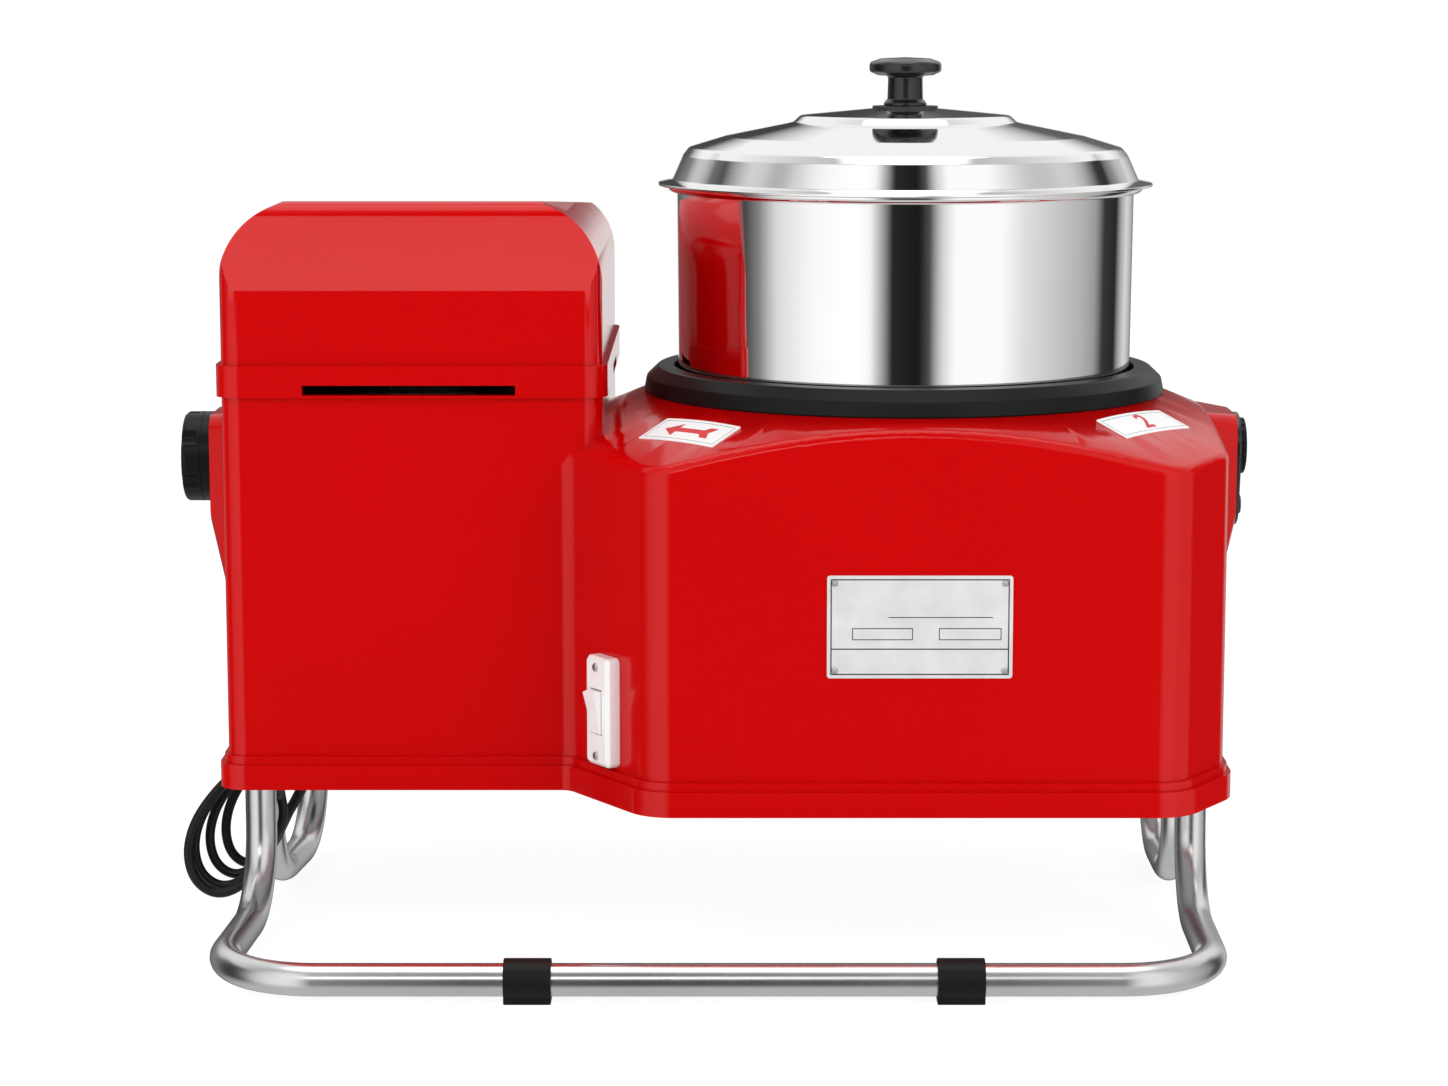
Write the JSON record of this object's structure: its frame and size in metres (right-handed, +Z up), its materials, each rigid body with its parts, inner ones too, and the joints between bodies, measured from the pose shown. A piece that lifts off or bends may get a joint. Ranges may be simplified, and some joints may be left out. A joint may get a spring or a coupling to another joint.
{
  "type": "wet grinder",
  "caption": "Table wet grinder: steel drum with stones under a knobbed lid, belt-driven from a motor tower beside it, on a bent tube stand.",
  "frame": {"origin": "on the floor, under the middle of the object's box without its cord", "axes": "+X to the drum's side, along the machine's length; -Y to the front with the plate and switch; +Z up"},
  "size_m": [0.6614, 0.4273, 0.5258],
  "materials": {
    "red_case": "high gloss moulded red plastic",
    "stainless": "mirror-polished stainless sheet",
    "steel_tube": "polished bent tube",
    "black_plastic": "satin black plastic",
    "black_rubber": "matte black rubber",
    "white_plastic": "gloss white plastic",
    "granite": "ground grey granite",
    "zinc_steel": "zinc-plated steel",
    "bearing_steel": "ground bearing steel",
    "cast_aluminium": "sand-cast aluminium",
    "laminations": "stacked electrical steel",
    "copper": "varnished copper wire",
    "black_moulding": "moulded thermoset",
    "capacitor_can": "drawn aluminium can",
    "plate_alloy": "satin anodised plate",
    "label_film": "printed vinyl film",
    "control_black": "gloss black button",
    "cord_sheath": "black flexible sheath"
  },
  "bodies": {
    "case": {"ball_bearings": "bearing_steel", "base_plate": "zinc_steel", "body_shell": "red_case", "capacitor_clip": "zinc_steel", "case_screws": "zinc_steel", "centre_post": "stainless", "control_bodies": "black_moulding", "control_plate": "black_plastic", "cord_clip": "black_plastic", "cord_gland": "black_plastic", "cord_hank": "cord_sheath", "cord_tail": "cord_sheath", "cord_tie": "black_plastic", "drum_collar": "black_plastic", "foot_clips": "black_rubber", "front_loop": "steel_tube", "holder_nut": "black_plastic", "leg_sockets": "zinc_steel", "motor_end_bells": "cast_aluminium", "motor_pillars": "zinc_steel", "motor_plate": "zinc_steel", "motor_stack": "laminations", "motor_tie_bolts": "zinc_steel", "motor_windings": "copper", "name_plate": "plate_alloy", "name_plate_rivets": "zinc_steel", "pedestal_bolts": "zinc_steel", "plug": "cord_sheath", "port_sleeve": "cast_aluminium", "post_pedestal": "cast_aluminium", "rear_skids": "steel_tube", "roller_holder": "cast_aluminium", "roller_pins": "bearing_steel", "roof_labels": "label_film", "run_capacitor": "capacitor_can", "switch_body": "black_moulding", "switch_plate": "white_plastic", "switch_screws": "zinc_steel", "terminal_block": "black_moulding", "top_cover": "red_case", "v_belt": "black_rubber", "wiper_blade": "white_plastic"},
    "drum": {"drum": "stainless", "drum_hub": "cast_aluminium", "drum_pulley": "cast_aluminium", "base_stone": "granite"},
    "lid": {"lid": "stainless", "lid_knob": "black_plastic", "knob_fixings": "zinc_steel"},
    "motor": {"motor_rotor": "zinc_steel", "motor_pulley": "cast_aluminium", "motor_mitre_gear": "bearing_steel"},
    "port": {"port_shaft": "zinc_steel", "port_mitre_gear": "bearing_steel"},
    "roller_left": {"roller_stone_left": "granite"},
    "roller_right": {"roller_stone_right": "granite"},
    "rocker": {"switch_rocker": "white_plastic"},
    "dial": {"control_knob": "black_plastic"},
    "reset": {"reset_button": "control_black"},
    "cap": {"port_cap": "black_plastic"}
  },
  "joints": [
    {"name": "drum_spin", "type": "hinge", "parent": "case", "child": "drum", "pos_m": [0.1164, 0.03865, 0.2], "axis": [0, 0, 1], "continuous": true},
    {"name": "lid_lift", "type": "slide", "parent": "drum", "child": "lid", "axis": [0, 0, 1], "range_m": [0, 0.15]},
    {"name": "motor_spin", "type": "hinge", "parent": "case", "child": "motor", "pos_m": [-0.1796, 0.05865, 0.3], "axis": [0, 0, 1], "continuous": true},
    {"name": "port_spin", "type": "hinge", "parent": "case", "child": "port", "pos_m": [-0.25, 0.05865, 0.278], "axis": [1, 0, 0], "continuous": true},
    {"name": "roller_left_spin", "type": "hinge", "parent": "case", "child": "roller_left", "pos_m": [0.0524, 0.03865, 0.3645], "axis": [1, 0, 0], "continuous": true},
    {"name": "roller_right_spin", "type": "hinge", "parent": "case", "child": "roller_right", "pos_m": [0.1804, 0.03865, 0.3645], "axis": [1, 0, 0], "continuous": true},
    {"name": "switch_rock", "type": "hinge", "parent": "case", "child": "rocker", "pos_m": [-0.06971, -0.10199, 0.147], "axis": [-0.5395, 0.842, 0], "range_deg": [0, 20]},
    {"name": "control_turn", "type": "hinge", "parent": "case", "child": "dial", "pos_m": [0.3275, 0.05865, 0.2847], "axis": [1, 0, 0], "range_deg": [-270, 0]},
    {"name": "reset_press", "type": "slide", "parent": "case", "child": "reset", "axis": [-1, 0, 0], "range_m": [0, 0.0018], "stiffness_N_per_m": 300},
    {"name": "port_cap_off", "type": "slide", "parent": "case", "child": "cap", "axis": [-1, 0, 0], "range_m": [0, 0.05]}
  ],
  "couplings": [
    {"joint": "motor_spin", "follows": "drum_spin", "ratio": 6.8},
    {"joint": "port_spin", "follows": "drum_spin", "ratio": -6.8},
    {"joint": "roller_right_spin", "follows": "drum_spin", "ratio": 1.5238},
    {"joint": "roller_left_spin", "follows": "drum_spin", "ratio": -1.5238}
  ]
}
